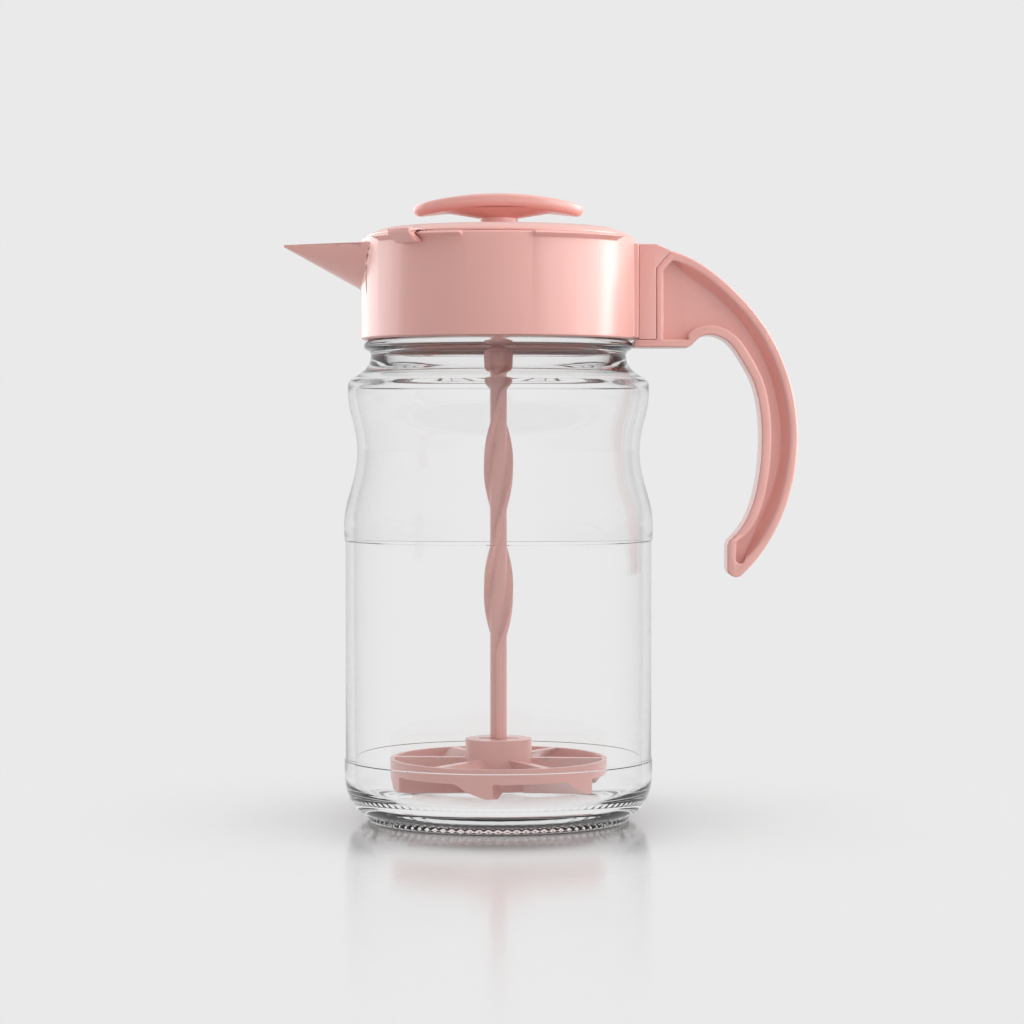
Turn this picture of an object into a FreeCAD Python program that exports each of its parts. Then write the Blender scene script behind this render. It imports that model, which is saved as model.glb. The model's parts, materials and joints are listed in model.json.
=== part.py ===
import FreeCAD, Part
from math import pi
import os

# Baby formula mixing pitcher: a glass jar, a screw-on head with spout and handle, a twist-on
# cover, and a pump rod that spins a mixing wheel.
#
# Frame: origin on the jar's axis at the table, +Z up, +X towards the handle, -X towards the
# spout. Lengths are millimetres and angles are degrees, anticlockwise from +X seen from above.

V = FreeCAD.Vector
UP = V(0, 0, 1)

SPOUT_ANGLE = 180.0
FRONT_ANGLE = -90.0

# Jar, from the table up
foot_r = 45.2
foot_width = 2.6
punt_depth = 1.2
punt_slope = 1.5
heel_flare = 4.0
heel_lift = 0.2
heel_pull = 6.8
floor_thickness = 7.0
floor_corner_r = 8.0
jar_wall = 3.0
body_r = 53.1
heel_height = 16.9
label_bottom = 20.9
label_height = 75.3
label_depth = 0.35
belly_rise = 4.2
belly_bulge = 0.2
waist_rise = 26.5
waist_r = 48.7
shoulder_rise = 21.2
shoulder_r = 51.9
crease_rise = 3.4
crease_inset = 0.8
crease_inner_rise = 1.0
shoulder_pull = 5.6
neck_rise = 8.6
neck_wall = 3.9
neck_land = 1.2
bead_height = 3.6
bead_proud = 2.5
finish_wall = 2.4
finish_height = 14.5
mouth_r = 40.0
rim_round = 0.6

# Screw thread between the jar and the head
thread_pitch = 6.0
thread_turns = 1.15
thread_root_width = 2.4
thread_crest_width = 1.2
glass_thread_height = 1.7
collar_thread_height = 1.9
collar_thread_rise = 1.7
thread_bury = 0.3

# Gasket and collar
seal_thickness = 1.5
seal_edge_gap = 0.4
thread_gap = 0.9
collar_wall = 2.3
collar_gap = 0.3
shelf_thickness = 2.0
shelf_overlap = 5.6
head_room = 17.0
collar_bore_wall = 2.7
collar_edge_round = 0.5

# Bayonet rails on the collar, and the cover's claws that run on them
rail_near_angle = 14.5
rail_far_angle = 58.0
rail_land = 1.7
rail_reach = 3.0
rail_peak_drop = 0.8
rail_height = 2.2
claw_angle = -37.0
claw_half_span = 4.8
claw_top_gap = 0.3
claw_side_gap = 1.5
claw_wall = 3.2
claw_lip_inset = 3.8
claw_lip_drop = 2.9
claw_hook_height = 1.1
claw_hook_gap = 0.4

# Spout
spout_reach = 26.7
spout_drop = 2.0
spout_depth = 15.3
spout_half_width = 18.8
spout_wall = 1.8
spout_tip_r = 0.7
spout_lip = 2.2
spout_root_depth = 11.3

# Pad and T-shaped rail on the collar that carry the handle's bracket
pad_half_width = 11.0
pad_proud = 0.55
pad_bottom_rise = 0.4
pad_top_drop = 2.1
tee_neck_half_width = 2.2
tee_neck_length = 2.0
tee_head_half_width = 3.6
tee_head_thickness = 1.6
tee_end_gap = 1.4
tee_clearance = 0.15

# Bracket and handle
bracket_groove = 0.15
bracket_depth = 5.9
nose_depth = 11.0
nose_drop = 2.3
nose_heel_drop = 8.4
handle_thickness = 17.0
handle_seam = 0.05
shelf_plate = 2.6
shelf_reach = 17.1
shelf_to_collar = 0.1
shelf_to_bead = 0.6
recess_depth = 4.5
outer_rim = 2.5
wall_slope = 2.9
inner_rim = 3.3
bracket_rim = 2.3
recess_heel_drop = 0.9
recess_nose_out = 0.6
recess_nose_drop = 3.3

# The handle's grip, as steps out from the bracket's back and down from the bracket's top
grip_outer = [(19.7, 5.9), (30.7, 14.1), (42.0, 26.5), (50.5, 42.9), (54.4, 62.9), (52.9, 80.7),
              (45.1, 101.2)]
grip_tip = [(35.8, 112.9), (32.8, 113.9), (30.4, 111.2)]
grip_heel = [(30.4, 103.3), (30.9, 101.6)]
grip_inner = [(36.6, 94.5), (40.8, 81.3), (42.1, 66.3), (41.2, 54.7), (38.7, 45.9), (35.0, 39.3),
              (30.9, 33.8)]
grip_crook = [(25.9, 31.2), (21.3, 31.7), (19.0, 33.7)]
recess_tip = [(36.3, 107.8), (34.7, 109.3), (33.4, 107.4)]
recess_heel = (33.5, 102.2)

# Screws that hold the handle to its bracket
screw_r = 1.1
screw_length = 10.0
screw_head_r = 1.9
screw_head_height = 1.4
screw_half_spacing = 6.1
screw_inset = 3.0

# Cover
cover_gap = 0.1
cover_rim_inset = 1.7
cover_rim_height = 0.8
cover_chamfer_width = 5.2
cover_chamfer_height = 2.2
cover_plate = 2.0
skirt_gap = 0.3
skirt_wall = 2.2
skirt_floor_gap = 0.3
pour_turn = 74.0
window_half_angle = 20.0
window_rise = 3.0
window_height = 10.5
oring_r = 0.7
oring_rise = 1.3
oring_gap = 0.15

# Centre boss of the cover, with the nut that spins the rod
boss_wall = 1.6
nut_r = 8.0
nut_height = 5.6
nut_key_half_width = 1.5
nut_key_height = 0.8
nut_slot_gap = 0.2
rod_seal_height = 1.6
rod_seal_gap = 0.1
retainer_height = 2.2
retainer_gap = 1.2
rod_well_gap = 0.45
seat_gap = 0.02

# Twist rod
rod_core_r = 2.9
rod_rib_r = 5.05
rod_rib_thickness = 1.7
rod_lead = 85.0
rod_straight = 30.2
rib_start_angle = 90.0
rib_top_gap = 0.2
spigot_r = 3.2
lug_r = 6.4
lug_height = 3.8
lug_gap = 0.1
rod_foot_length = 1.8

# Knob and the swivel that holds it on the rod
knob_gap = 0.1
knob_half_length = 29.3
knob_half_width = 12.5
knob_height = 11.7
knob_thickness = 4.7
knob_top_droop = 3.5
knob_under_droop = 2.9
knob_top_round = 1.2
knob_under_round = 2.4
knob_neck_wall = 1.16
knob_neck_height = 3.9
knob_root_end_gap = 3.3
knob_root_side_gap = 0.9
knob_well_depth = 2.2
bush_wall = 1.3
bush_height = 4.0
bush_flange_r = 6.2
bush_flange_height = 0.6
bush_gap = 0.05
washer_r = 4.6
washer_thickness = 0.5
swivel_screw_r = 1.5
swivel_screw_length = 8.0
swivel_head_r = 2.9
swivel_head_height = 1.3
socket_r = 1.4
socket_depth = 0.8
cap_r = 8.6
cap_gap = 0.1
cap_plate = 1.4

# Mixing wheel
wheel_floor_gap = 3.0
blade_count = 6
blade_height = 10.8
blade_lead = 125.0
blade_width = 3.4
blade_edge_angle = -92.8
blade_lead_in = 1.9
fin_width = 2.4
wheel_mouth_gap = 2.5
ring_wall = 1.6
ring_height = 5.1
hub_r = 11.5
hub_wall = 1.8
hub_height = 17.0
hub_rise = 0.5
hub_plate = 3.0
hub_slot_gap = 0.3
plug_height = 2.5
join_bury = 0.5

# Levels worked out from the sizes above
label_top = label_bottom + label_height
belly_z = label_top + belly_rise
waist_z = belly_z + waist_rise
shoulder_z = waist_z + shoulder_rise
crease_z = shoulder_z + crease_rise
neck_z = crease_z + neck_rise
bead_bottom = neck_z + neck_land
bead_top = bead_bottom + bead_height
rim_z = bead_top + finish_height
shelf_bottom = rim_z + seal_thickness
shelf_top = shelf_bottom + shelf_thickness
collar_bottom = bead_top + collar_gap
collar_top = shelf_top + head_room
cover_bottom = collar_top + cover_gap
cover_edge = cover_bottom + cover_rim_height
cover_top = cover_edge + cover_chamfer_height
cover_ceiling = cover_top - cover_plate
skirt_bottom = shelf_top + skirt_floor_gap
wheel_bottom = floor_thickness + wheel_floor_gap
wheel_top = wheel_bottom + blade_height
ring_bottom = wheel_top - ring_height
hub_bottom = wheel_bottom + hub_rise
hub_top = hub_bottom + hub_height
twist_start = hub_top + rod_straight
seal_bottom = cover_ceiling - rod_seal_height
nut_bottom = seal_bottom - nut_height
boss_bottom = nut_bottom - retainer_height
knob_bottom = cover_top + knob_gap
knob_top = knob_bottom + knob_height
well_ceiling = knob_bottom + knob_well_depth
bush_top = well_ceiling + bush_height
washer_bottom = bush_top + bush_gap
washer_top = washer_bottom + washer_thickness
head_top = washer_top + swivel_head_height
cap_bottom = bush_top - bush_flange_height

# Radii and places worked out from the sizes above
neck_r = mouth_r + neck_wall
bead_r = neck_r + bead_proud
finish_r = mouth_r + finish_wall
ring_r = mouth_r - wheel_mouth_gap
collar_inner_r = finish_r + glass_thread_height + thread_gap
collar_r = collar_inner_r + collar_wall
cover_rim_r = collar_r - cover_rim_inset
cover_top_r = cover_rim_r - cover_chamfer_width
collar_bore_r = collar_r - collar_bore_wall
shelf_inner_r = collar_bore_r - shelf_overlap
skirt_r = collar_bore_r - skirt_gap
skirt_inner_r = skirt_r - skirt_wall
oring_middle_r = collar_bore_r - oring_gap - oring_r
bush_bore_r = spigot_r + bush_gap
bush_r = bush_bore_r + bush_wall
rod_well_r = rod_rib_r + rod_well_gap
knob_neck_r = rod_well_r + knob_neck_wall
pad_x = collar_r + pad_proud
bracket_x = pad_x + bracket_groove
bracket_bottom = collar_bottom - shelf_to_collar + handle_seam
bracket_top = collar_top - pad_top_drop
handle_shelf_top = collar_bottom - shelf_to_collar
window_angle = SPOUT_ANGLE - pour_turn


def point(r, z):
    return V(r, 0, z)


def at_angle(r, angle, z):
    return FreeCAD.Rotation(UP, angle).multVec(V(r, 0, z))


def lines(points):
    return [Part.LineSegment(point(*a), point(*b)).toShape() for a, b in zip(points, points[1:])]


def closed(points):
    return lines(points + points[:1])


def arc(start, middle, end):
    return Part.Arc(point(*start), point(*middle), point(*end)).toShape()


def bezier(*poles):
    curve = Part.BezierCurve()
    curve.setPoles([point(*pole) for pole in poles])
    return curve.toShape()


def upright_bezier(start, end, pull=0.42):
    """A curve that leaves its start and meets its end straight up or down."""
    rise = (end[1] - start[1]) * pull
    return bezier(start, (start[0], start[1] + rise), (end[0], end[1] - rise), end)


def spline(points):
    curve = Part.BSplineCurve()
    curve.interpolate([point(*p) for p in points])
    return curve.toShape()


def face_of(edges):
    return Part.Face(Part.Wire(Part.sortEdges(edges)[0]))


def spin(edges):
    """A solid of revolution about the jar's axis."""
    return face_of(edges).revolve(V(0, 0, 0), UP, 360)


def arc_of(edges, middle, half_span):
    """Part of a ring: an outline turned through an arc about the jar's axis."""
    section = face_of(edges)
    section.rotate(V(0, 0, 0), UP, middle - half_span)
    return section.revolve(V(0, 0, 0), UP, 2 * half_span)


def disc(r, bottom, top):
    return Part.makeCylinder(r, top - bottom, V(0, 0, bottom))


def tube(outer, inner, bottom, top):
    return disc(outer, bottom, top).cut(disc(inner, bottom, top))


def wall_arc(outer, inner, bottom, top, middle, half_span):
    """An upright piece of a round wall."""
    return arc_of(closed([(inner, bottom), (outer, bottom), (outer, top), (inner, top)]), middle, half_span)


def box(x0, x1, half_width, z0, z1):
    return Part.makeBox(x1 - x0, 2 * half_width, z1 - z0, V(x0, -half_width, z0))


def slab(edges, half_width):
    """An outline in the XZ plane made as thick as the given width each way along Y."""
    solid = face_of(edges).extrude(V(0, 2 * half_width, 0))
    solid.translate(V(0, -half_width, 0))
    return solid


def twisted(outline, bottom, top, lead):
    """A flat outline swept upwards, turning once in every lead, clockwise where the lead is negative."""
    spine = Part.Wire(Part.LineSegment(V(0, 0, bottom), V(0, 0, top)).toShape())
    guide_r = 1.0
    guide = Part.makeHelix(abs(lead), top - bottom, guide_r, 0, lead < 0)
    guide.translate(V(0, 0, bottom))
    sweep = Part.BRepOffsetAPI.MakePipeShell(spine)
    sweep.setAuxiliarySpine(Part.Wire(guide.Edges), True, 0)
    sweep.add(outline)
    sweep.build()
    sweep.makeSolid()
    return sweep.shape()


def helical_ridge(root_r, crest_r, start_z):
    """A thread ridge that starts over +X and climbs anticlockwise."""
    half_root = thread_root_width / 2
    half_crest = thread_crest_width / 2
    helix = Part.makeHelix(thread_pitch, thread_pitch * thread_turns, root_r)
    sweep = Part.BRepOffsetAPI.MakePipeShell(Part.Wire(helix.Edges))
    sweep.setFrenetMode(True)
    outline = closed([(root_r, -half_root), (crest_r, -half_crest),
                      (crest_r, half_crest), (root_r, half_root)])
    sweep.add(Part.Wire(outline))
    sweep.build()
    sweep.makeSolid()
    ridge = sweep.shape()
    ridge.translate(V(0, 0, start_z))
    return ridge


def ribbed_outline(z, reach, angle, gap=0.0):
    """The rod's outline at one height: a round core with two opposite ribs or lugs, grown by a gap."""
    core = rod_core_r + gap
    half = rod_rib_thickness / 2 + gap
    end = reach + gap
    root = (core ** 2 - half ** 2) ** 0.5
    edges = []
    for turn in (0, 180):
        side = [Part.LineSegment(V(root, -half, z), V(end, -half, z)).toShape(),
                Part.LineSegment(V(end, -half, z), V(end, half, z)).toShape(),
                Part.LineSegment(V(end, half, z), V(root, half, z)).toShape(),
                Part.Arc(V(root, half, z), V(0, core, z), V(-root, half, z)).toShape()]
        edges += [edge.rotated(V(0, 0, 0), UP, angle + turn) for edge in side]
    return Part.Wire(edges)


def rib_angle(z):
    return rib_start_angle + 360.0 * (z - twist_start) / rod_lead


def twisted_rod(bottom, top, gap=0.0):
    """The rod's twisted length, or the hole that it threads through when grown by a gap."""
    return twisted(ribbed_outline(bottom, rod_rib_r, rib_angle(bottom), gap), bottom, top, rod_lead)


def straight_rod(reach, bottom, top, angle=rib_start_angle, gap=0.0):
    """A straight length of the rod, or a hole for it when grown by a gap."""
    return Part.Face(ribbed_outline(bottom, reach, angle, gap)).extrude(V(0, 0, top - bottom))


def glass_jar():
    label_r = body_r - label_depth
    punt_r = foot_r - foot_width - punt_slope
    crease = (shoulder_r - crease_inset, crease_z)
    outside = lines([(0, punt_depth), (punt_r, punt_depth), (foot_r - foot_width, 0), (foot_r, 0)])
    heel = (body_r, heel_height)
    outside += [bezier((foot_r, 0), (foot_r + heel_flare, heel_lift), (body_r, heel_pull), heel)]
    outside += lines([(body_r, heel_height), (body_r, label_bottom), (label_r, label_bottom),
                      (label_r, label_top), (body_r, label_top)])
    outside += [upright_bezier((body_r, label_top), (body_r + belly_bulge, belly_z))]
    outside += [upright_bezier((body_r + belly_bulge, belly_z), (waist_r, waist_z))]
    outside += [upright_bezier((waist_r, waist_z), (shoulder_r, shoulder_z))]
    outside += [bezier((shoulder_r, shoulder_z), (shoulder_r, shoulder_z + crease_rise / 2), crease)]
    outside += [bezier(crease, (neck_r + crease_inset, neck_z - shoulder_pull), (neck_r, neck_z))]
    outside += lines([(neck_r, neck_z), (neck_r, bead_bottom)])
    outside += [arc((neck_r, bead_bottom), (bead_r, bead_bottom + bead_height / 2), (neck_r, bead_top))]
    outside += lines([(neck_r, bead_top), (finish_r, bead_top), (finish_r, rim_z - rim_round),
                      (finish_r - rim_round, rim_z), (mouth_r + rim_round, rim_z),
                      (mouth_r, rim_z - rim_round), (mouth_r, bead_bottom)])
    inner_label_r = label_r - jar_wall
    inner_shoulder = (shoulder_r - jar_wall, shoulder_z)
    inner_waist = (waist_r - jar_wall, waist_z)
    inner_belly = (inner_label_r, belly_z)
    corner = (inner_label_r - floor_corner_r, floor_thickness)
    inside = [bezier((mouth_r, bead_bottom), (mouth_r, crease_z + crease_inner_rise), inner_shoulder)]
    inside += [upright_bezier(inner_shoulder, inner_waist), upright_bezier(inner_waist, inner_belly)]
    wall_foot = (inner_label_r, floor_thickness + floor_corner_r)
    inside += lines([inner_belly, wall_foot])
    inside += [bezier(wall_foot, (inner_label_r, floor_thickness), corner)]
    inside += lines([corner, (0, floor_thickness), (0, punt_depth)])
    crest_r = finish_r + glass_thread_height
    thread_z = collar_bottom + collar_thread_rise + thread_pitch / 2
    ridge = helical_ridge(finish_r - thread_bury, crest_r, thread_z)
    return spin(outside + inside).fuse(ridge)


def jar_seal():
    return tube(collar_inner_r - seal_edge_gap, shelf_inner_r, rim_z, shelf_bottom)


def spout_root_x():
    return spout_root_depth - collar_r


def spout_section(x, half_width, sag):
    """A half-round outline across the spout: a level chord and the arc that hangs below it."""
    top = collar_top - spout_drop
    left = V(x, -half_width, top)
    right = V(x, half_width, top)
    hanging = Part.Arc(left, V(x, 0, top - sag), right).toShape()
    return Part.Wire([hanging, Part.LineSegment(right, left).toShape()])


def spout_half_cone(start_x, start_r, inset):
    """The beak as a half-cone from near its tip to inside the collar, made slimmer by an inset."""
    tip_x = -(collar_r + spout_reach)
    mouth_x = -((collar_r ** 2 - spout_half_width ** 2) ** 0.5)
    half_width = spout_half_width * (spout_root_x() - tip_x) / (mouth_x - tip_x) - inset
    sag = spout_depth * (spout_root_x() - tip_x) / spout_reach - inset
    sections = [spout_section(start_x, start_r, start_r), spout_section(spout_root_x(), half_width, sag)]
    return Part.makeLoft(sections, True, True)


def beak():
    outside = spout_half_cone(-(collar_r + spout_reach), spout_tip_r, 0)
    return outside.cut(disc(collar_r - join_bury, 0, collar_top))


def spout_channel():
    """The space the drink pours through, down to the collar's shelf."""
    channel = spout_half_cone(spout_lip - collar_r - spout_reach, spout_tip_r / 2, spout_wall)
    return channel.cut(box(-collar_r, 0, collar_r, 0, shelf_top))


def rails():
    outline = closed([(collar_r - join_bury, collar_top), (collar_r + rail_land, collar_top),
                      (collar_r + rail_reach, collar_top - rail_peak_drop),
                      (collar_r - join_bury, collar_top - rail_height)])
    middle = (rail_near_angle + rail_far_angle) / 2
    half_span = (rail_far_angle - rail_near_angle) / 2
    return [arc_of(outline, side + turn, half_span)
            for side in (FRONT_ANGLE, FRONT_ANGLE + 180.0) for turn in (middle, -middle)]


def tee_rail(gap=0.0):
    """The rail that the bracket slides up on, grown by a gap to make the bracket's slot."""
    bottom = bracket_bottom + tee_end_gap - gap
    top = bracket_top - tee_end_gap + gap
    head_x = pad_x + tee_neck_length
    neck = box(pad_x - join_bury, head_x + join_bury, tee_neck_half_width + gap, bottom, top)
    head = box(head_x - gap, head_x + tee_head_thickness + gap, tee_head_half_width + gap, bottom, top)
    return neck.fuse(head)


def lid_collar():
    edge = collar_edge_round
    body = spin(closed([(collar_inner_r, collar_bottom), (collar_r - edge, collar_bottom),
                        (collar_r, collar_bottom + edge), (collar_r, collar_top - edge),
                        (collar_r - edge, collar_top), (collar_bore_r, collar_top),
                        (collar_bore_r, shelf_top), (shelf_inner_r, shelf_top),
                        (shelf_inner_r, shelf_bottom), (collar_inner_r, shelf_bottom)]))
    pad = box(collar_inner_r + join_bury, pad_x, pad_half_width, collar_bottom + pad_bottom_rise, bracket_top)
    ridge = helical_ridge(collar_inner_r + thread_bury, collar_inner_r - collar_thread_height,
                          collar_bottom + collar_thread_rise)
    whole = body.fuse([beak(), pad, tee_rail(), ridge] + rails())
    return whole.cut(spout_channel()).removeSplitter()


def screw_places():
    x = bracket_x + screw_inset
    return [V(x, -screw_half_spacing, 0), V(x, screw_half_spacing, 0)]


def handle_screws(gap=0.0):
    """Both screws, or the holes that they sit in when grown by a gap."""
    head_bottom = handle_shelf_top - shelf_plate
    shank_bottom = head_bottom + screw_head_height
    screws = []
    for place in screw_places():
        head = Part.makeCylinder(screw_head_r + gap, screw_head_height + gap, place + V(0, 0, head_bottom))
        shank = Part.makeCylinder(screw_r + gap, screw_length + gap, place + V(0, 0, shank_bottom))
        screws.append(head.fuse(shank))
    return Part.makeCompound(screws)


def handle_bracket():
    far_x = bracket_x + bracket_depth
    outline = closed([(bracket_x, bracket_bottom), (far_x, bracket_bottom),
                      (far_x, bracket_top - nose_heel_drop),
                      (bracket_x + nose_depth, bracket_top - nose_drop),
                      (far_x, bracket_top), (bracket_x, bracket_top)])
    slot = tee_rail(tee_clearance)
    slot_top = bracket_bottom + tee_end_gap
    head_x = pad_x + tee_neck_length
    way_in = box(pad_x, head_x + tee_clearance, tee_neck_half_width + tee_clearance, bracket_bottom, slot_top)
    way_in = way_in.fuse(box(head_x - tee_clearance, head_x + tee_head_thickness + tee_clearance,
                             tee_head_half_width + tee_clearance, bracket_bottom, slot_top))
    return slab(outline, handle_thickness / 2).cut([slot, way_in, handle_screws(seat_gap)]).removeSplitter()


def grip_point(step):
    """A place on the grip from its steps out from and down from the bracket's top back corner."""
    out, down = step
    return (bracket_x + out, bracket_top - down)


def shelf_end():
    return (bracket_x + shelf_reach, handle_shelf_top - shelf_plate)


def nose():
    return (bracket_x + nose_depth + handle_seam, bracket_top - nose_drop)


def outer_edge():
    return [nose()] + [grip_point(step) for step in grip_outer + grip_tip[:1]]


def inner_edge():
    return [grip_point(step) for step in grip_heel[-1:] + grip_inner + grip_crook] + [shelf_end()]


def handle_outline():
    seam_x = bracket_x + bracket_depth + handle_seam
    edges = lines([nose(), (seam_x, bracket_top - nose_heel_drop), (seam_x, handle_shelf_top),
                   (collar_inner_r, handle_shelf_top), (collar_inner_r, shelf_end()[1]), shelf_end()])
    edges.append(spline(inner_edge()))
    edges += lines([grip_point(step) for step in grip_heel[::-1] + grip_tip[-1:]])
    edges.append(arc(*[grip_point(step) for step in grip_tip]))
    edges.append(spline(outer_edge()))
    return edges


def moved_right(points, distance):
    """The inner points of an open outline, each moved to the right of the way the outline runs."""
    moved = []
    for before, here, after in zip(points, points[1:], points[2:]):
        run = (after[0] - before[0], after[1] - before[1])
        scale = distance / (run[0] ** 2 + run[1] ** 2) ** 0.5
        moved.append((here[0] + run[1] * scale, here[1] - run[0] * scale))
    return moved


def recess_wire(y, slope):
    """The recess's outline at one depth, where its outer wall has come in by a slope."""
    left_x = bracket_x + bracket_depth + handle_seam + bracket_rim
    heel_z = bracket_top - nose_heel_drop - recess_heel_drop
    top = (nose()[0] + recess_nose_out, nose()[1] - recess_nose_drop)
    tip = [grip_point(step) for step in recess_tip]
    heel = grip_point(recess_heel)
    end = (shelf_end()[0], handle_shelf_top)
    edges = lines([end, (left_x, handle_shelf_top), (left_x, heel_z), top])
    edges.append(spline([top] + moved_right(outer_edge(), outer_rim + slope) + tip[:1]))
    edges.append(arc(*tip))
    edges += lines([tip[-1], heel])
    edges.append(spline([heel] + moved_right(inner_edge(), inner_rim) + [end]))
    wire = Part.Wire(edges)
    wire.translate(V(0, y, 0))
    return wire


def handle():
    half = handle_thickness / 2
    solid = slab(handle_outline(), half)
    web = half - recess_depth
    recesses = [Part.makeLoft([recess_wire(side * half, 0), recess_wire(side * web, wall_slope)], True, True)
                for side in (-1, 1)]
    around_jar = disc(bead_r + shelf_to_bead, 0, collar_top)
    return solid.cut(recesses + [around_jar, handle_screws(seat_gap)])


def claw():
    """A hook that reaches out over a rail and back in under it."""
    peak_r = collar_r + rail_reach + claw_side_gap
    peak_z = collar_top - rail_peak_drop
    outer_r = peak_r + claw_wall
    bottom = peak_z - claw_lip_drop
    tip_r = collar_r + claw_hook_gap
    inner_top = collar_top + claw_top_gap
    return closed([(cover_rim_r - join_bury, cover_edge), (outer_r, cover_edge), (outer_r, peak_z),
                   (outer_r - claw_lip_inset, bottom), (tip_r, bottom), (tip_r, bottom + claw_hook_height),
                   (peak_r, peak_z), (collar_r + rail_land + claw_top_gap, inner_top),
                   (cover_rim_r - join_bury, inner_top)])


def nut_keys(gap=0.0):
    """The two keys that stop the nut turning, or their slots when grown by a gap."""
    return box(-nut_r - nut_key_height - gap, nut_r + nut_key_height + gap, nut_key_half_width + gap,
               nut_bottom, seal_bottom)


def retainer_bead(gap=0.0):
    """The snap bead round the retainer, or its groove when grown by a gap."""
    middle = (boss_bottom + nut_bottom) / 2
    rise = retainer_height / 4
    r = nut_r - seat_gap
    return spin(closed([(r - join_bury, middle - rise - gap), (r + rise + gap, middle),
                        (r - join_bury, middle + rise + gap)]))


def top_cover():
    bore_r = nut_r + seat_gap
    boss_r = nut_r + nut_key_height + boss_wall
    body = spin(closed([(rod_well_r, cover_top), (cover_top_r, cover_top), (cover_rim_r, cover_edge),
                        (cover_rim_r, cover_bottom), (skirt_r, cover_bottom), (skirt_r, skirt_bottom),
                        (skirt_inner_r, skirt_bottom), (skirt_inner_r, cover_ceiling),
                        (boss_r, cover_ceiling), (boss_r, boss_bottom), (bore_r, boss_bottom),
                        (bore_r, cover_ceiling), (rod_well_r, cover_ceiling)]))
    claws = [arc_of(claw(), FRONT_ANGLE + claw_angle + turn, claw_half_span) for turn in (0.0, 180.0)]
    window = wall_arc(skirt_r + join_bury, skirt_inner_r - join_bury, skirt_bottom + window_rise,
                      skirt_bottom + window_rise + window_height, window_angle, window_half_angle)
    groove = tube(skirt_r + join_bury, oring_middle_r - oring_r, skirt_bottom + oring_rise - oring_r,
                  skirt_bottom + oring_rise + oring_r)
    return body.fuse(claws).cut([window, groove, nut_keys(seat_gap), retainer_bead(seat_gap)])


def cover_seal():
    return Part.makeTorus(oring_middle_r, oring_r, V(0, 0, skirt_bottom + oring_rise))


def drive_nut():
    keys = nut_keys().common(disc(nut_r + nut_key_height, nut_bottom, seal_bottom))
    hole = twisted_rod(nut_bottom, seal_bottom, nut_slot_gap)
    return disc(nut_r, nut_bottom, seal_bottom).fuse(keys).cut(hole)


def rod_seal():
    return disc(nut_r, seal_bottom, cover_ceiling).cut(twisted_rod(seal_bottom, cover_ceiling, rod_seal_gap))


def nut_retainer():
    ring = tube(nut_r - seat_gap, rod_rib_r + retainer_gap, boss_bottom, nut_bottom)
    return ring.fuse(retainer_bead())


def twist_rod():
    plate_bottom = hub_top - hub_plate
    lug_bottom = plate_bottom - lug_gap - lug_height
    rib_top = well_ceiling - rib_top_gap
    foot = disc(rod_core_r, lug_bottom - rod_foot_length, lug_bottom)
    lugs = straight_rod(lug_r, lug_bottom, plate_bottom - lug_gap)
    neck = disc(rod_core_r, plate_bottom - lug_gap, hub_top + lug_gap)
    straight = straight_rod(rod_rib_r, hub_top + lug_gap, twist_start)
    spigot = disc(spigot_r, rib_top, washer_bottom)
    body = foot.fuse([lugs, neck, straight, twisted_rod(twist_start, rib_top), spigot])
    hole_bottom = washer_top - swivel_screw_length - seat_gap
    return body.cut(disc(swivel_screw_r + seat_gap, hole_bottom, washer_bottom))


def arch(top, droop):
    """A lying round bar whose top is level with the knob's middle and droops towards the knob's ends."""
    r = (knob_half_length ** 2 + droop ** 2) / (2 * droop)
    bar = Part.makeCylinder(r, 4 * knob_half_width, V(0, -2 * knob_half_width, top - r), V(0, 1, 0))
    return bar.rotated(V(0, 0, top - r), V(0, 1, 0), 90)


def oval(half_length, half_width, z):
    return Part.Wire(Part.Ellipse(V(0, 0, z), half_length, half_width).toShape())


def rim_edge(shape, highest):
    """The long edge round the top or the bottom of the knob's bar."""
    rims = [edge for edge in shape.Edges if edge.BoundBox.XLength > knob_half_length]
    rims.sort(key=lambda edge: edge.BoundBox.ZMax)
    return rims[-1] if highest else rims[0]


def knob_bar():
    """The oval bar that the hand pulls, bent down towards its ends."""
    block = Part.Face(oval(knob_half_length, knob_half_width, knob_bottom)).extrude(V(0, 0, 2 * knob_height))
    bar = block.common(arch(knob_top, knob_top_droop)).cut(arch(knob_top - knob_thickness, knob_under_droop))
    bar = bar.makeFillet(knob_under_round, [rim_edge(bar, False)])
    return bar.makeFillet(knob_top_round, [rim_edge(bar, True)])


def knob_flare():
    """The neck's spread into the underside of the bar: round at the neck and oval at the bar."""
    start = Part.Wire(Part.makeCircle(knob_neck_r, V(0, 0, knob_bottom + knob_neck_height)))
    root = oval(knob_half_length - knob_root_end_gap, knob_half_width - knob_root_side_gap,
                knob_top - knob_thickness)
    return Part.makeLoft([start, root], True, True)


def knob_body():
    neck = disc(knob_neck_r, knob_bottom, knob_bottom + knob_neck_height)
    hollow = disc(rod_well_r, knob_bottom, well_ceiling).fuse(
        [disc(bush_r, well_ceiling, cap_bottom), disc(cap_r + cap_gap, cap_bottom, knob_top)])
    return knob_bar().fuse([knob_flare(), neck]).cut(hollow)


def knob_cap():
    """A lid let into the top of the bar, over the swivel, and bent as the bar is."""
    lid = disc(cap_r, cap_bottom, knob_top).cut(disc(cap_r - cap_plate, cap_bottom, knob_top - cap_plate))
    return lid.common(arch(knob_top, knob_top_droop))


def swivel_bush():
    sleeve = disc(bush_r, well_ceiling, bush_top).fuse(disc(bush_flange_r, cap_bottom, bush_top))
    return sleeve.cut(disc(bush_bore_r, well_ceiling, bush_top))


def swivel_washer():
    return tube(washer_r, swivel_screw_r + seat_gap, washer_bottom, washer_top)


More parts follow.
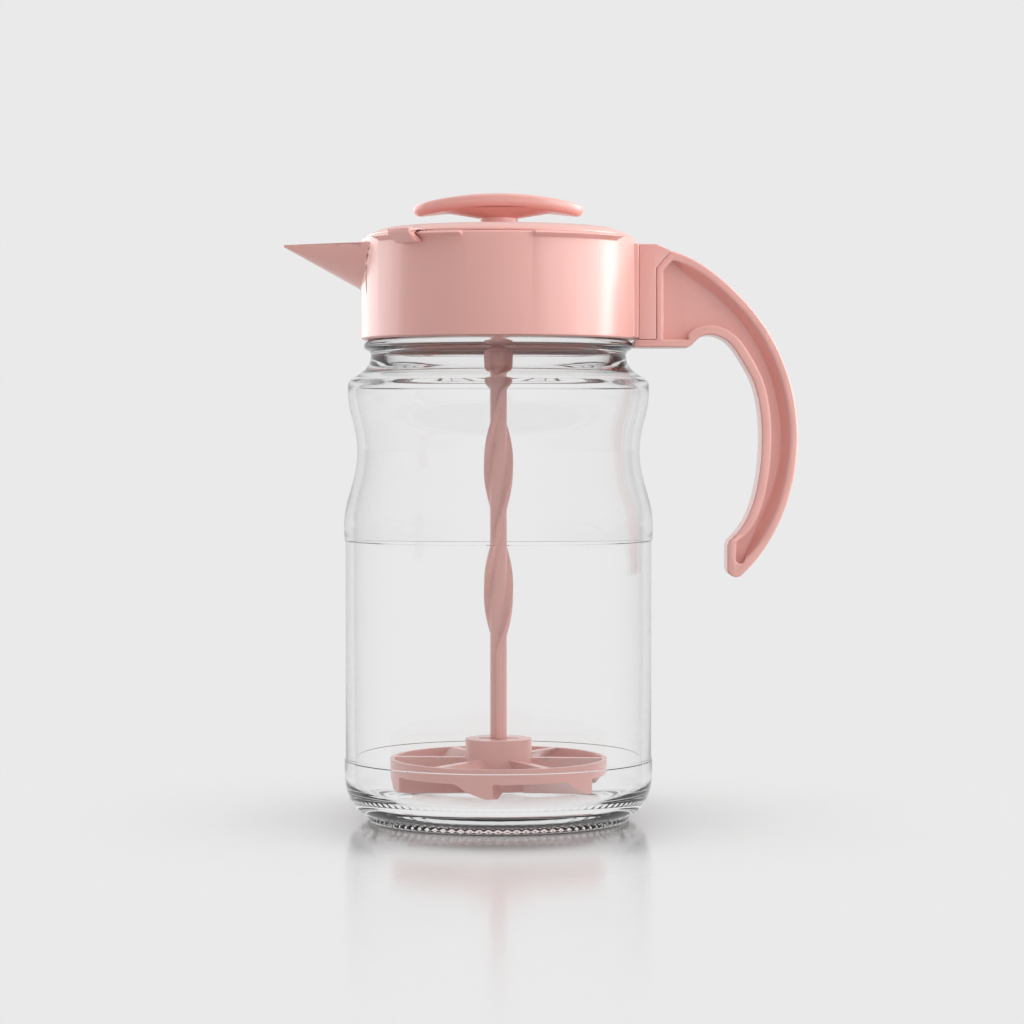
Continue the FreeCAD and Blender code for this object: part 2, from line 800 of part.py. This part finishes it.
def swivel_screw():
    shank = disc(swivel_screw_r, washer_top - swivel_screw_length, washer_top)
    head = disc(swivel_head_r, washer_top, head_top)
    corners = [at_angle(socket_r, 60.0 * step, head_top - socket_depth) for step in range(7)]
    socket = Part.Face(Part.makePolygon(corners)).extrude(V(0, 0, 2 * socket_depth))
    return shank.fuse(head).cut(socket)


def blade_plate(edge_angle):
    """A swept blade from the hub to the ring, whose leading face is square to the edge angle at its foot."""
    inner_r = hub_r - join_bury
    outer_r = ring_r - ring_wall + join_bury
    trailing = blade_lead_in - blade_width
    corners = [V(inner_r, trailing, wheel_bottom), V(outer_r, trailing, wheel_bottom),
               V(outer_r, blade_lead_in, wheel_bottom), V(inner_r, blade_lead_in, wheel_bottom)]
    plate = twisted(Part.makePolygon(corners + corners[:1]), wheel_bottom, wheel_top, -blade_lead)
    return plate.rotated(V(0, 0, 0), UP, edge_angle)


def sector_outline(inner, outer, start, end, z):
    """A piece of a flat ring between two angles."""
    places = [[at_angle(r, angle, z) for angle in (start, (start + end) / 2, end)] for r in (inner, outer)]
    near, far = places
    edges = [Part.LineSegment(near[0], far[0]).toShape(), Part.Arc(*far).toShape(),
             Part.LineSegment(far[2], near[2]).toShape(), Part.Arc(*near[::-1]).toShape()]
    return Part.Wire(edges)


def fin(edge_angle):
    """The ring's skin carried down over a blade's end: swept on one side and upright on the other."""
    inner_r = ring_r - ring_wall
    top = ring_bottom + join_bury
    foot_angle = fin_width / ring_r * 180.0 / pi
    sweep_angle = 360.0 * (top - wheel_bottom) / blade_lead
    outline = sector_outline(inner_r, ring_r, edge_angle - foot_angle, edge_angle + sweep_angle, wheel_bottom)
    swept = twisted(outline, wheel_bottom, top, -blade_lead)
    half_span = (foot_angle + sweep_angle) / 2
    return swept.common(wall_arc(ring_r, inner_r, wheel_bottom, top, edge_angle - half_span, half_span))


def mixing_wheel():
    hub = disc(hub_r, hub_bottom, hub_top).cut(disc(hub_r - hub_wall, hub_bottom, hub_top - hub_plate))
    ring = tube(ring_r, ring_r - ring_wall, ring_bottom, wheel_top)
    edges = [blade_edge_angle + 360.0 / blade_count * step for step in range(blade_count)]
    blades = [shape for edge in edges for shape in (blade_plate(edge), fin(edge))]
    slot = straight_rod(lug_r, hub_bottom, hub_top, rib_start_angle + 90.0, hub_slot_gap)
    return ring.fuse([hub] + blades).cut(slot)


def hub_plug():
    return disc(hub_r - hub_wall - seat_gap, hub_bottom, hub_bottom + plug_height)


def main():
    os.makedirs("parts", exist_ok=True)
    nodes = {
        "glass_jar": glass_jar(),
        "jar_seal": jar_seal(),
        "lid_collar": lid_collar(),
        "handle_bracket": handle_bracket(),
        "handle": handle(),
        "handle_screws": handle_screws(),
        "top_cover": top_cover(),
        "cover_seal": cover_seal(),
        "drive_nut": drive_nut(),
        "rod_seal": rod_seal(),
        "nut_retainer": nut_retainer(),
        "twist_rod": twist_rod(),
        "swivel_bush": swivel_bush(),
        "swivel_washer": swivel_washer(),
        "swivel_screw": swivel_screw(),
        "knob_body": knob_body(),
        "knob_cap": knob_cap(),
        "mixing_wheel": mixing_wheel(),
        "hub_plug": hub_plug(),
    }
    for name, shape in nodes.items():
        shape.exportStep(f"parts/{name}.step")


if __name__ == "__main__":
    main()
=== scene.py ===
import bmesh
import bpy
import json
from math import cos, pi, radians, sin
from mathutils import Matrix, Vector
from mathutils.geometry import interpolate_bezier

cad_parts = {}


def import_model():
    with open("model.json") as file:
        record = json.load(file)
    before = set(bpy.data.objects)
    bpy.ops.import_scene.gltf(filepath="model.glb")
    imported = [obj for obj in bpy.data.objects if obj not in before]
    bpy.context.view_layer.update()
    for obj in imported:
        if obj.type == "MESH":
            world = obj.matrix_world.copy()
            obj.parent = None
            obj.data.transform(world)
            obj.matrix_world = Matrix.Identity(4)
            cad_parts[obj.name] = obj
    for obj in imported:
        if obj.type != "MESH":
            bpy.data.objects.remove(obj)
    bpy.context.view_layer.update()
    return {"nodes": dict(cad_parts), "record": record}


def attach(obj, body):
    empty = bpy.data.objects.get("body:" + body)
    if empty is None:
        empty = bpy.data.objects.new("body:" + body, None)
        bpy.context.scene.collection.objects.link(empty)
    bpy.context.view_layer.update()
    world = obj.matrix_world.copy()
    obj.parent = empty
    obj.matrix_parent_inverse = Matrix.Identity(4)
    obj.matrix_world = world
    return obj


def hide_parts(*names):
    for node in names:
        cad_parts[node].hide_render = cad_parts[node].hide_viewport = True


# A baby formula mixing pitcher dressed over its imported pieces. Meshes are in metres, in the frame
# of the pieces: origin on the jar's axis at the table, +X towards the handle. Sizes of the pieces, the
# camera's place and the heights of bumps are millimetres here and go through MM. Other sizes in the
# materials and on the stage are metres.

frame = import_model()
nodes = frame["nodes"]
record = frame["record"]
MM = 0.001

# The camera, fitted to the photo: picture size and focal length in pixels, tilt in degrees

PHOTO_SIZE = 1024
PHOTO_FOCAL = 3044.0
SENSOR_WIDTH = 36.0
CAMERA_PLACE = (4.66, -1050.0, 130.8)
CAMERA_TILT = 1.355

BACKDROP = 0.823
SALMON = (0.80, 0.405, 0.360)
EDGE_WIDTHS = {"lid_collar": 0.35, "handle_bracket": 0.4, "handle": 0.6, "top_cover": 0.3, "knob_cap": 0.15,
               "mixing_wheel": 0.2, "twist_rod": 0.25}
ROUND_PIECES = ("lid_collar", "top_cover", "mixing_wheel")


# Node helpers

def new_material(name):
    material = bpy.data.materials.new(name)
    material.use_nodes = True
    tree = material.node_tree
    shader = tree.nodes["Principled BSDF"]
    return material, tree, shader


def add(tree, kind, **values):
    node = tree.nodes.new(kind)
    for name, value in values.items():
        if hasattr(node, name):
            setattr(node, name, value)
        else:
            node.inputs[name.replace("_", " ")].default_value = value
    return node


def link(tree, source, target):
    tree.links.new(source, target)


def object_coordinates(tree):
    return add(tree, "ShaderNodeTexCoord").outputs["Object"]


def coordinate(tree, place, axis):
    node = add(tree, "ShaderNodeSeparateXYZ")
    link(tree, place, node.inputs[0])
    return node.outputs[axis]


def unsigned(tree, value):
    node = add(tree, "ShaderNodeMath", operation="ABSOLUTE")
    link(tree, value, node.inputs[0])
    return node.outputs[0]


def product(tree, first, second):
    node = add(tree, "ShaderNodeMath", operation="MULTIPLY")
    link(tree, first, node.inputs[0])
    link(tree, second, node.inputs[1])
    return node.outputs[0]


def noise(tree, scale, detail=3.0):
    """Solid noise with so many lumps to the metre."""
    node = add(tree, "ShaderNodeTexNoise", Scale=scale, Detail=detail, Roughness=0.55)
    link(tree, object_coordinates(tree), node.inputs["Vector"])
    return node.outputs["Fac"]


def spread(tree, value, low, high):
    """The value's middle range spread over low to high."""
    node = add(tree, "ShaderNodeMapRange", From_Min=0.3, From_Max=0.7, To_Min=low, To_Max=high)
    link(tree, value, node.inputs["Value"])
    return node.outputs["Result"]


def smooth_ramp(tree, value, start, end, low, high):
    """Goes smoothly from low to high as the value goes from start to end."""
    node = add(tree, "ShaderNodeMapRange", interpolation_type="SMOOTHSTEP", From_Min=start, From_Max=end,
               To_Min=low, To_Max=high)
    link(tree, value, node.inputs["Value"])
    return node.outputs["Result"]


def two_tones(tree, value, first, second):
    node = add(tree, "ShaderNodeMix", data_type="RGBA")
    link(tree, value, node.inputs[0])
    node.inputs[6].default_value = (*first, 1.0)
    node.inputs[7].default_value = (*second, 1.0)
    return node.outputs[2]


def bump(tree, height, distance, strength, below=None):
    """A normal from a height; the distance is in millimetres."""
    node = add(tree, "ShaderNodeBump", Strength=strength, Distance=distance * MM)
    link(tree, height, node.inputs["Height"])
    if below is not None:
        link(tree, below, node.inputs["Normal"])
    return node.outputs["Normal"]


def mixed(tree, share, first, second):
    """A shader that goes from the first to the second as the share goes from 0 to 1."""
    node = add(tree, "ShaderNodeMixShader")
    link(tree, share, node.inputs[0])
    link(tree, first.outputs[0], node.inputs[1])
    link(tree, second.outputs[0], node.inputs[2])
    return node


# Materials

def moulded_plastic(name, colour, roughness):
    """Injection-moulded plastic: faint flow clouds, slightly uneven gloss and a satin skin."""
    tint, smoother, rougher = 0.02, 0.015, 0.02
    material, tree, shader = new_material(name)
    clouds = noise(tree, 28.0, 4.0)
    darker = tuple(c * (1.0 - tint) for c in colour)
    link(tree, two_tones(tree, clouds, darker, colour), shader.inputs["Base Color"])
    uneven = spread(tree, noise(tree, 90.0), roughness - smoother, roughness + rougher)
    link(tree, uneven, shader.inputs["Roughness"])
    shader.inputs["Specular IOR Level"].default_value = 0.7
    shader.inputs["Coat Weight"].default_value = 0.6
    shader.inputs["Coat Roughness"].default_value = 0.2
    shader.inputs["Subsurface Weight"].default_value = 0.08
    shader.inputs["Subsurface Radius"].default_value = (0.004, 0.002, 0.0015)
    shader.inputs["Subsurface Scale"].default_value = 0.5
    waves = bump(tree, noise(tree, 30.0, 2.0), 0.02, 0.3)
    skin = bump(tree, noise(tree, 1500.0, 2.0), 0.001, 0.3, waves)
    link(tree, skin, shader.inputs["Normal"])
    return material


def clear_glass():
    """Clear pressed glass with painted edge shade: greyer where it is seen edge on, above the foot. It lets
    lamps through to what is inside.
    """
    clear_below, grey_above, edge_power = 0.008, 0.02, 4.0
    white, painted_edge_shade, body_grey, shadow = (1.0, 1.0, 1.0), (0.36, 0.37, 0.37), (0.5, 0.51, 0.51), 0.96
    material, tree, shader = new_material("clear_glass")
    facing = add(tree, "ShaderNodeLayerWeight", Blend=0.5)
    edge = add(tree, "ShaderNodeMath", operation="POWER")
    edge.inputs[1].default_value = edge_power
    link(tree, facing.outputs["Facing"], edge.inputs[0])
    height = coordinate(tree, object_coordinates(tree), "Z")
    above_foot = smooth_ramp(tree, height, clear_below, grey_above, 0.0, 1.0)
    # Painted edge shade: the glass's colour goes grey where it is seen edge on, above the foot, in place of
    # dark edges from its surroundings
    painted_edge_share = product(tree, edge.outputs[0], above_foot)
    link(tree, two_tones(tree, painted_edge_share, white, painted_edge_shade), shader.inputs["Base Color"])
    shader.inputs["Transmission Weight"].default_value = 1.0
    shader.inputs["IOR"].default_value = 1.47
    link(tree, spread(tree, noise(tree, 60.0), 0.0, 0.006), shader.inputs["Roughness"])
    link(tree, bump(tree, noise(tree, 22.0, 1.5), 0.02, 0.3), shader.inputs["Normal"])
    clear = add(tree, "ShaderNodeBsdfTransparent", Color=(shadow, shadow, shadow, 1.0))
    path = add(tree, "ShaderNodeLightPath")
    either = mixed(tree, path.outputs["Is Shadow Ray"], shader, clear)
    link(tree, either.outputs[0], tree.nodes["Material Output"].inputs["Surface"])
    grey = add(tree, "ShaderNodeVolumeAbsorption", Color=(*body_grey, 1.0), Density=3.0)
    link(tree, grey.outputs[0], tree.nodes["Material Output"].inputs["Volume"])
    return material


def silicone():
    """Satin silicone that lets a little light in."""
    shade, light = (0.80, 0.79, 0.77), (0.88, 0.87, 0.85)
    material, tree, shader = new_material("white_silicone")
    link(tree, two_tones(tree, noise(tree, 90.0), shade, light), shader.inputs["Base Color"])
    link(tree, spread(tree, noise(tree, 700.0), 0.42, 0.56), shader.inputs["Roughness"])
    shader.inputs["Subsurface Weight"].default_value = 0.3
    shader.inputs["Subsurface Radius"].default_value = (0.003, 0.003, 0.003)
    shader.inputs["Subsurface Scale"].default_value = 0.5
    link(tree, bump(tree, noise(tree, 1800.0), 0.01, 0.6), shader.inputs["Normal"])
    return material


def turned_steel():
    """Stainless steel with fine rings left by turning."""
    shade, light = (0.56, 0.56, 0.57), (0.66, 0.66, 0.66)
    material, tree, shader = new_material("steel")
    shader.inputs["Metallic"].default_value = 1.0
    link(tree, two_tones(tree, noise(tree, 300.0), shade, light), shader.inputs["Base Color"])
    rings = add(tree, "ShaderNodeTexWave", wave_type="RINGS", rings_direction="Z", Scale=900.0,
                Distortion=1.5)
    link(tree, object_coordinates(tree), rings.inputs["Vector"])
    link(tree, spread(tree, rings.outputs["Fac"], 0.22, 0.36), shader.inputs["Roughness"])
    link(tree, bump(tree, rings.outputs["Fac"], 0.01, 0.4), shader.inputs["Normal"])
    return material


materials = {
    "clear_glass": clear_glass(),
    "pink_plastic": moulded_plastic("pink_plastic", SALMON, 0.36),
    "white_silicone": silicone(),
    "white_acetal": moulded_plastic("white_acetal", (0.84, 0.84, 0.82), 0.34),
    "steel": turned_steel(),
}
slot_of = {row["node"]: row["material_slot"] for row in record["subparts"]}
body_of = {node: body for body, members in record["behaviour"]["bodies"].items() for node in members}


# Mesh helpers

def add_piece(name, mesh, node):
    """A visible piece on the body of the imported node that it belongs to, in that node's material."""
    piece = bpy.data.objects.new(name, mesh)
    bpy.context.scene.collection.objects.link(piece)
    mesh.materials.clear()
    mesh.materials.append(materials[slot_of[node]])
    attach(piece, body_of[node])
    return piece


def curve_points(start, start_pull, end_pull, end, count):
    """Points along a Bezier curve in (r, z), without its last one."""
    poles = [Vector((r, z, 0)) for r, z in (start, start_pull, end_pull, end)]
    return [(p.x, p.y) for p in interpolate_bezier(*poles, count + 1)[:-1]]


def upright_points(start, end, count):
    """Points along an S curve that is upright at both ends."""
    rise = (end[1] - start[1]) * 0.42
    return curve_points(start, (start[0], start[1] + rise), (end[0], end[1] - rise), end, count)


def step_points(lower_r, upper_r, z):
    """A small crisp step in the wall, with a point close by on each side to keep it narrow."""
    reach, half = 0.6, 0.12
    return [(lower_r, z - reach), (lower_r, z - half), (upper_r, z + half), (upper_r, z + reach)]


def lathe(name, profile, node, segments, push):
    """A closed (r, z) outline turned about Z; push moves a point outwards by its number and its turn."""
    on_axis = 1e-6
    mesh = bpy.data.meshes.new(name)
    verts = []
    rings = []
    for number, (r, z) in enumerate(profile):
        if r < on_axis:
            rings.append([len(verts)] * segments)
            verts.append((0, 0, z * MM))
            continue
        start = len(verts)
        rings.append(list(range(start, start + segments)))
        for step in range(segments):
            angle = 2 * pi * step / segments
            reach = (r + push(number, step)) * MM
            verts.append((reach * cos(angle), reach * sin(angle), z * MM))
    faces = []
    for lower, upper in zip(rings, rings[1:] + rings[:1]):
        if lower[0] == lower[1] and upper[0] == upper[1]:
            continue
        for step in range(segments):
            after = (step + 1) % segments
            corners = [lower[step], lower[after], upper[after], upper[step]]
            faces.append([c for n, c in enumerate(corners) if c not in corners[:n]])
    mesh.from_pydata(verts, [], faces)
    work = bmesh.new()
    work.from_mesh(mesh)
    bmesh.ops.recalc_face_normals(work, faces=work.faces)
    work.to_mesh(mesh)
    work.free()
    mesh.shade_smooth()
    mesh.set_sharp_from_angle(angle=radians(50))
    return add_piece(name, mesh, node)


# Glass jar: its radii and levels, then its outline from under the base round to the inner floor

foot_r, foot_width, punt_depth, punt_slope = 45.2, 2.6, 1.2, 1.5
body_r, label_r, belly_r, waist_r, shoulder_r, neck_r = 53.1, 52.75, 53.27, 48.7, 51.9, 43.9
bead_r, finish_r, mouth_r, rim_round = 46.4, 42.4, 40.0, 0.6
heel_z = 16.9
label_bottom = 20.9
label_top = label_bottom + 75.3
belly_z = label_top + 4.2
waist_z = belly_z + 26.5
shoulder_z = waist_z + 21.2
crease_z = shoulder_z + 3.4
neck_z = crease_z + 8.6
bead_bottom = neck_z + 1.2
bead_top = bead_bottom + 3.6
rim_z = bead_top + 14.5
wall, floor_z, corner_r = 3.0, 7.0, 8.0


def base_points():
    """The hollow under the jar and the flat ring that it stands on."""
    punt_r = foot_r - foot_width - punt_slope
    return [(0, punt_depth), (punt_r * 0.5, punt_depth), (punt_r, punt_depth),
            (foot_r - foot_width, 0.25), (foot_r - foot_width * 0.8, 0.0), (foot_r - 0.9, 0.0)]


def heel_points():
    """The foot's outer edge and the curve from it up to the wall."""
    edge = [(foot_r - 0.25, 0.35), (foot_r, 0.9), (foot_r + 0.1, 1.5)]
    return edge + curve_points((foot_r + 0.2, 2.0), (foot_r + 3.2, 2.3), (body_r, 6.6), (body_r, heel_z), 22)


def wall_points():
    """The label panel between its two steps, the belly and the waist."""
    points = [(body_r, heel_z)] + step_points(body_r, label_r, label_bottom)
    points += step_points(label_r, body_r, label_top)
    points += upright_points((body_r, label_top + 0.8), (belly_r, belly_z), 4)
    points += upright_points((belly_r, belly_z), (waist_r, waist_z), 20)
    return points + upright_points((waist_r, waist_z), (shoulder_r, shoulder_z), 18)


def neck_points():
    """The shoulder with its crease, and the neck."""
    crease = (shoulder_r - 0.8, crease_z)
    points = curve_points((shoulder_r, shoulder_z), (shoulder_r, shoulder_z + 1.2),
                          (shoulder_r, shoulder_z + 2.2), crease, 8)
    neck = (neck_r, neck_z)
    points += curve_points(crease, (crease[0] - 1.6, crease_z + 1.4), (neck_r, neck_z - 5.6), neck, 14)
    return points + [neck]


def mouth_points():
    """The round bead, the finish that the thread stands on, and the rounded rim."""
    points = []
    bead_middle = (bead_bottom + bead_top) / 2
    bead_steps = 12
    for step in range(1, bead_steps):
        angle = pi * step / bead_steps
        points.append((neck_r + (bead_r - neck_r) * sin(angle),
                       bead_middle - (bead_middle - bead_bottom) * cos(angle)))
    points += [(neck_r - 0.2, bead_top), (finish_r, bead_top + 0.3), (finish_r, rim_z - rim_round)]
    rim_middle = (finish_r + mouth_r) / 2
    rim_steps = 6
    for step in range(1, rim_steps):
        angle = pi * step / rim_steps
        points.append((rim_middle + (finish_r - rim_middle) * cos(angle),
                       rim_z - rim_round + rim_round * sin(angle)))
    return points


def inside_points():
    """The inner wall from the rim down to the floor."""
    shoulder = (shoulder_r - wall, shoulder_z)
    waist = (waist_r - wall, waist_z)
    belly = (label_r - wall, belly_z)
    corner = (label_r - wall - corner_r, floor_z)
    points = [(mouth_r, rim_z - rim_round), (mouth_r, (rim_z + bead_bottom) / 2)]
    points += curve_points((mouth_r, bead_bottom), (mouth_r, crease_z + 1), (shoulder[0], shoulder_z + 5),
                           shoulder, 14)
    points += upright_points(shoulder, waist, 18)
    points += upright_points(waist, belly, 20)
    points += [belly, (belly[0], (belly_z + floor_z) / 2)]
    points += curve_points((belly[0], floor_z + corner_r), (belly[0], floor_z + corner_r * 0.45),
                           (corner[0] + corner_r * 0.55, floor_z), corner, 12)
    return points + [corner, (corner[0] * 0.5, floor_z), (0, floor_z)]


def glass_jar():
    """The jar, with a ring of dots pressed into the foot's outer edge and the first part of the heel."""
    dot_count, steps_per_dot, dot_depth, dotted_points = 90, 6, 0.8, 10
    dots_start = len(base_points())
    dots_end = dots_start + dotted_points

    def dots(number, step):
        if not dots_start <= number < dots_end:
            return 0.0
        share = sin(pi * (number - dots_start + 0.5) / (dots_end - dots_start))
        return dot_depth * share * (0.5 * cos(2 * pi * step / steps_per_dot) - 0.5)

    profile = base_points() + heel_points() + wall_points()
    profile += neck_points() + mouth_points() + inside_points()
    jar = lathe("jar_glass", profile, "glass_jar", dot_count * steps_per_dot, dots)
    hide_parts("glass_jar")
    return jar


def glass_thread():
    """The jar's screw ridge, bedded in the wall of the neck."""
    pitch, turns, start_z = 6.0, 1.15, 169.9
    root_r, crest_r, half_root, half_crest = 42.1, 44.1, 1.2, 0.6
    steps, end_height, fade_steps = 110, 0.2, 8
    work = bmesh.new()
    rings = []
    for step in range(steps + 1):
        angle = 2 * pi * turns * step / steps
        middle = start_z + pitch * turns * step / steps
        fade = min(1.0, end_height + step / fade_steps, end_height + (steps - step) / fade_steps)
        crest = root_r + (crest_r - root_r) * fade
        ring = [(root_r, -half_root), (crest, -half_crest), (crest, half_crest), (root_r, half_root)]
        places = [(r * cos(angle) * MM, r * sin(angle) * MM, (middle + z) * MM) for r, z in ring]
        rings.append([work.verts.new(place) for place in places])
    for low, high in zip(rings, rings[1:]):
        for n in range(4):
            work.faces.new([low[n], low[n - 1], high[n - 1], high[n]])
    work.faces.new(rings[0])
    work.faces.new(rings[-1][::-1])
    bmesh.ops.recalc_face_normals(work, faces=work.faces)
    mesh = bpy.data.meshes.new("jar_thread")
    work.to_mesh(mesh)
    work.free()
    mesh.shade_smooth()
    mesh.set_sharp_from_angle(angle=radians(30))
    return add_piece("jar_thread", mesh, "glass_jar")


# Moulded pieces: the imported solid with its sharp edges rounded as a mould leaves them

def smooth_round_walls(piece):
    """Take the sideways lean out of the normals of walls turned about Z, which long facets leave there."""
    facet_lean = 0.07
    graph = bpy.context.evaluated_depsgraph_get()
    mesh = bpy.data.meshes.new_from_object(piece.evaluated_get(graph), depsgraph=graph)
    normals = [Vector(corner.vector) for corner in mesh.corner_normals]

    def sideways(corner):
        place = mesh.vertices[mesh.loops[corner].vertex_index].co
        return Vector((-place.y, place.x, 0.0)).normalized()

    for face in mesh.polygons:
        sides = [sideways(corner) for corner in face.loop_indices]
        if all(abs(face.normal.dot(side)) < facet_lean for side in sides):
            for corner, side in zip(face.loop_indices, sides):
                normals[corner] = (normals[corner] - normals[corner].dot(side) * side).normalized()
    mesh.normals_split_custom_set(normals)
    piece.modifiers.clear()
    piece.data = mesh


def rounded(node, width):
    """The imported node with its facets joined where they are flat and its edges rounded."""
    same_place, flat = 0.002 * MM, radians(0.4)
    mesh = nodes[node].data.copy()
    work = bmesh.new()
    work.from_mesh(mesh)
    bmesh.ops.remove_doubles(work, verts=work.verts, dist=same_place)
    bmesh.ops.dissolve_limit(work, angle_limit=flat, verts=work.verts, edges=work.edges)
    work.to_mesh(mesh)
    work.free()
    mesh.shade_smooth()
    piece = add_piece(f"{node}_moulded", mesh, node)
    edge = piece.modifiers.new("edge", "BEVEL")
    edge.width = width * MM
    edge.segments = 3
    edge.limit_method = "ANGLE"
    edge.angle_limit = radians(35)
    edge.use_clamp_overlap = False
    edge.miter_outer = "MITER_ARC"
    edge.harden_normals = True
    if node in ROUND_PIECES:
        smooth_round_walls(piece)
    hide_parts(node)


def dress_packed(node):
    """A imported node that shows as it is, in its own material."""
    shown = nodes[node]
    shown.data.materials.clear()
    shown.data.materials.append(materials[slot_of[node]])


# Stage

def world():
    """A pale surround. What the glass bends into view is greyer to the sides, which draws its edges."""
    ambient, side, side_start, side_end = 0.5, 0.5, 0.35, 0.95
    scene_world = bpy.data.worlds.new("surround")
    scene_world.use_nodes = True
    bpy.context.scene.world = scene_world
    tree = scene_world.node_tree
    background = tree.nodes["Background"]
    direction = add(tree, "ShaderNodeTexCoord").outputs["Generated"]
    away = unsigned(tree, coordinate(tree, direction, "X"))
    bent = smooth_ramp(tree, away, side_start, side_end, BACKDROP, side)
    path = add(tree, "ShaderNodeLightPath")
    level = ambient
    shares = {"Is Glossy Ray": BACKDROP, "Is Transmission Ray": bent, "Is Camera Ray": BACKDROP}
    for ray, seen in shares.items():
        chosen = add(tree, "ShaderNodeMix")
        link(tree, path.outputs[ray], chosen.inputs[0])
        for socket, value in ((chosen.inputs[2], level), (chosen.inputs[3], seen)):
            if isinstance(value, float):
                socket.default_value = value
            else:
                link(tree, value, socket)
        level = chosen.outputs[0]
    colour = add(tree, "ShaderNodeCombineColor")
    for channel in range(3):
        link(tree, level, colour.inputs[channel])
    link(tree, colour.outputs[0], background.inputs["Color"])


def floor_material():
    """Pale and polished near the jar, with its real shadow and reflection plus a painted shadow, faintly
    pink like a painted reflection, round the foot, and even like the backdrop beyond.
    """
    # lit_tone is the floor's own pale colour; the second tone is a painted shadow, faintly pink like a
    # painted reflection of the jar
    lit_tone, painted_shadow_tone = (0.70, 0.70, 0.70), (0.19, 0.155, 0.152)
    material = bpy.data.materials.new("floor")
    material.use_nodes = True
    tree = material.node_tree
    tree.nodes.remove(tree.nodes["Principled BSDF"])
    distance = add(tree, "ShaderNodeVectorMath", operation="LENGTH")
    link(tree, object_coordinates(tree), distance.inputs[0])

    def fading(start, end):
        return smooth_ramp(tree, distance.outputs["Value"], start, end, 1.0, 0.0)

    # Painted shadow: a dark, faintly pink tone drawn into the floor's colour round the foot, strongest in
    # front of and behind the jar
    aside = unsigned(tree, coordinate(tree, object_coordinates(tree), "X"))
    painted_shadow_middle = smooth_ramp(tree, aside, 0.025, 0.07, 1.0, 0.25)
    painted_shadow_share = product(tree, fading(0.046, 0.11), painted_shadow_middle)
    even = add(tree, "ShaderNodeEmission", Color=(BACKDROP, BACKDROP, BACKDROP, 1.0))
    lit = add(tree, "ShaderNodeBsdfDiffuse")
    link(tree, two_tones(tree, painted_shadow_share, lit_tone, painted_shadow_tone), lit.inputs["Color"])
    shaded = mixed(tree, fading(0.07, 0.2), even, lit)
    gloss = add(tree, "ShaderNodeBsdfGlossy", Color=(1.0, 1.0, 1.0, 1.0), Roughness=0.14)
    grazing = add(tree, "ShaderNodeFresnel", IOR=2.0)
    polished = mixed(tree, product(tree, grazing.outputs[0], fading(0.08, 0.42)), shaded, gloss)
    plain = add(tree, "ShaderNodeBsdfDiffuse", Color=(0.55, 0.55, 0.55, 1.0))
    path = add(tree, "ShaderNodeLightPath")
    behind_glass = mixed(tree, path.outputs["Is Transmission Ray"], plain, even)
    mirrored = mixed(tree, path.outputs["Is Glossy Ray"], behind_glass, even)
    chosen = mixed(tree, path.outputs["Is Camera Ray"], mirrored, polished)
    link(tree, chosen.outputs[0], tree.nodes["Material Output"].inputs["Surface"])
    return material


def floor():
    half = 6.0
    corners = [(-half, -half, 0), (half, -half, 0), (half, half, 0), (-half, half, 0)]
    mesh = bpy.data.meshes.new("floor")
    mesh.from_pydata(corners, [], [(0, 1, 2, 3)])
    mesh.materials.append(floor_material())
    piece = bpy.data.objects.new("floor", mesh)
    bpy.context.scene.collection.objects.link(piece)
    return piece


def softbox(name, azimuth, distance, height, size, radiance, receivers):
    """A lamp at an azimuth from the front towards +X, and the group that says which pieces it lights."""
    aim = Vector((0.0, 0.0, 0.13))
    width, length = size
    lamp = bpy.data.lights.new(name, "AREA")
    lamp.shape = "RECTANGLE"
    lamp.size = width
    lamp.size_y = length
    lamp.energy = radiance * pi * width * length
    holder = bpy.data.objects.new(name, lamp)
    turn = radians(azimuth)
    holder.location = (distance * sin(turn), -distance * cos(turn), height)
    holder.rotation_euler = (aim - holder.location).to_track_quat("-Z", "Y").to_euler()
    holder.visible_camera = False
    holder.visible_transmission = False
    bpy.context.scene.collection.objects.link(holder)
    holder.light_linking.receiver_collection = receivers


def light_group(name, pieces, state):
    """A group of pieces that lamps light alone (INCLUDE) or leave out (EXCLUDE)."""
    group = bpy.data.collections.new(name)
    for piece in pieces:
        group.objects.link(piece)
    for item in group.collection_objects:
        item.light_linking.link_state = state
    return group


def lights(glass_pieces, floor_piece):
    """The glass mirrors no lamp, and the floor is lit from above alone, so that it mirrors none either."""
    sides = light_group("unlit_by_sides", glass_pieces + [floor_piece], "EXCLUDE")
    above = light_group("unlit_by_top", glass_pieces, "EXCLUDE")
    ground = light_group("floor_alone", [floor_piece], "INCLUDE")
    softbox("key_right", 74.0, 1.1, 0.42, (1.9, 1.2), 2.2, sides)
    softbox("key_edge", 104.0, 1.1, 0.42, (0.45, 1.2), 3.7, sides)
    softbox("rim_left", -122.0, 1.1, 0.40, (1.6, 1.2), 2.0, sides)
    softbox("front_low", 8.0, 1.3, 0.05, (0.8, 0.5), 0.3, sides)
    softbox("top", 20.0, 0.25, 1.2, (0.9, 0.9), 1.1, above)
    softbox("floor_top", 0.0, 0.01, 1.5, (2.0, 2.0), 1.5, ground)


def camera():
    lens = bpy.data.cameras.new("camera")
    lens.sensor_width = SENSOR_WIDTH
    lens.lens = PHOTO_FOCAL / PHOTO_SIZE * SENSOR_WIDTH
    holder = bpy.data.objects.new("camera", lens)
    holder.location = [value * MM for value in CAMERA_PLACE]
    holder.rotation_euler = (radians(90.0 - CAMERA_TILT), 0.0, 0.0)
    bpy.context.scene.collection.objects.link(holder)
    bpy.context.scene.camera = holder


glass = [glass_jar(), glass_thread()]
for node_name in nodes:
    if node_name == "glass_jar":
        continue
    if node_name in EDGE_WIDTHS:
        rounded(node_name, EDGE_WIDTHS[node_name])
    else:
        dress_packed(node_name)
world()
lights(glass, floor())
camera()

view = bpy.context.scene.view_settings
view.view_transform = "Standard"
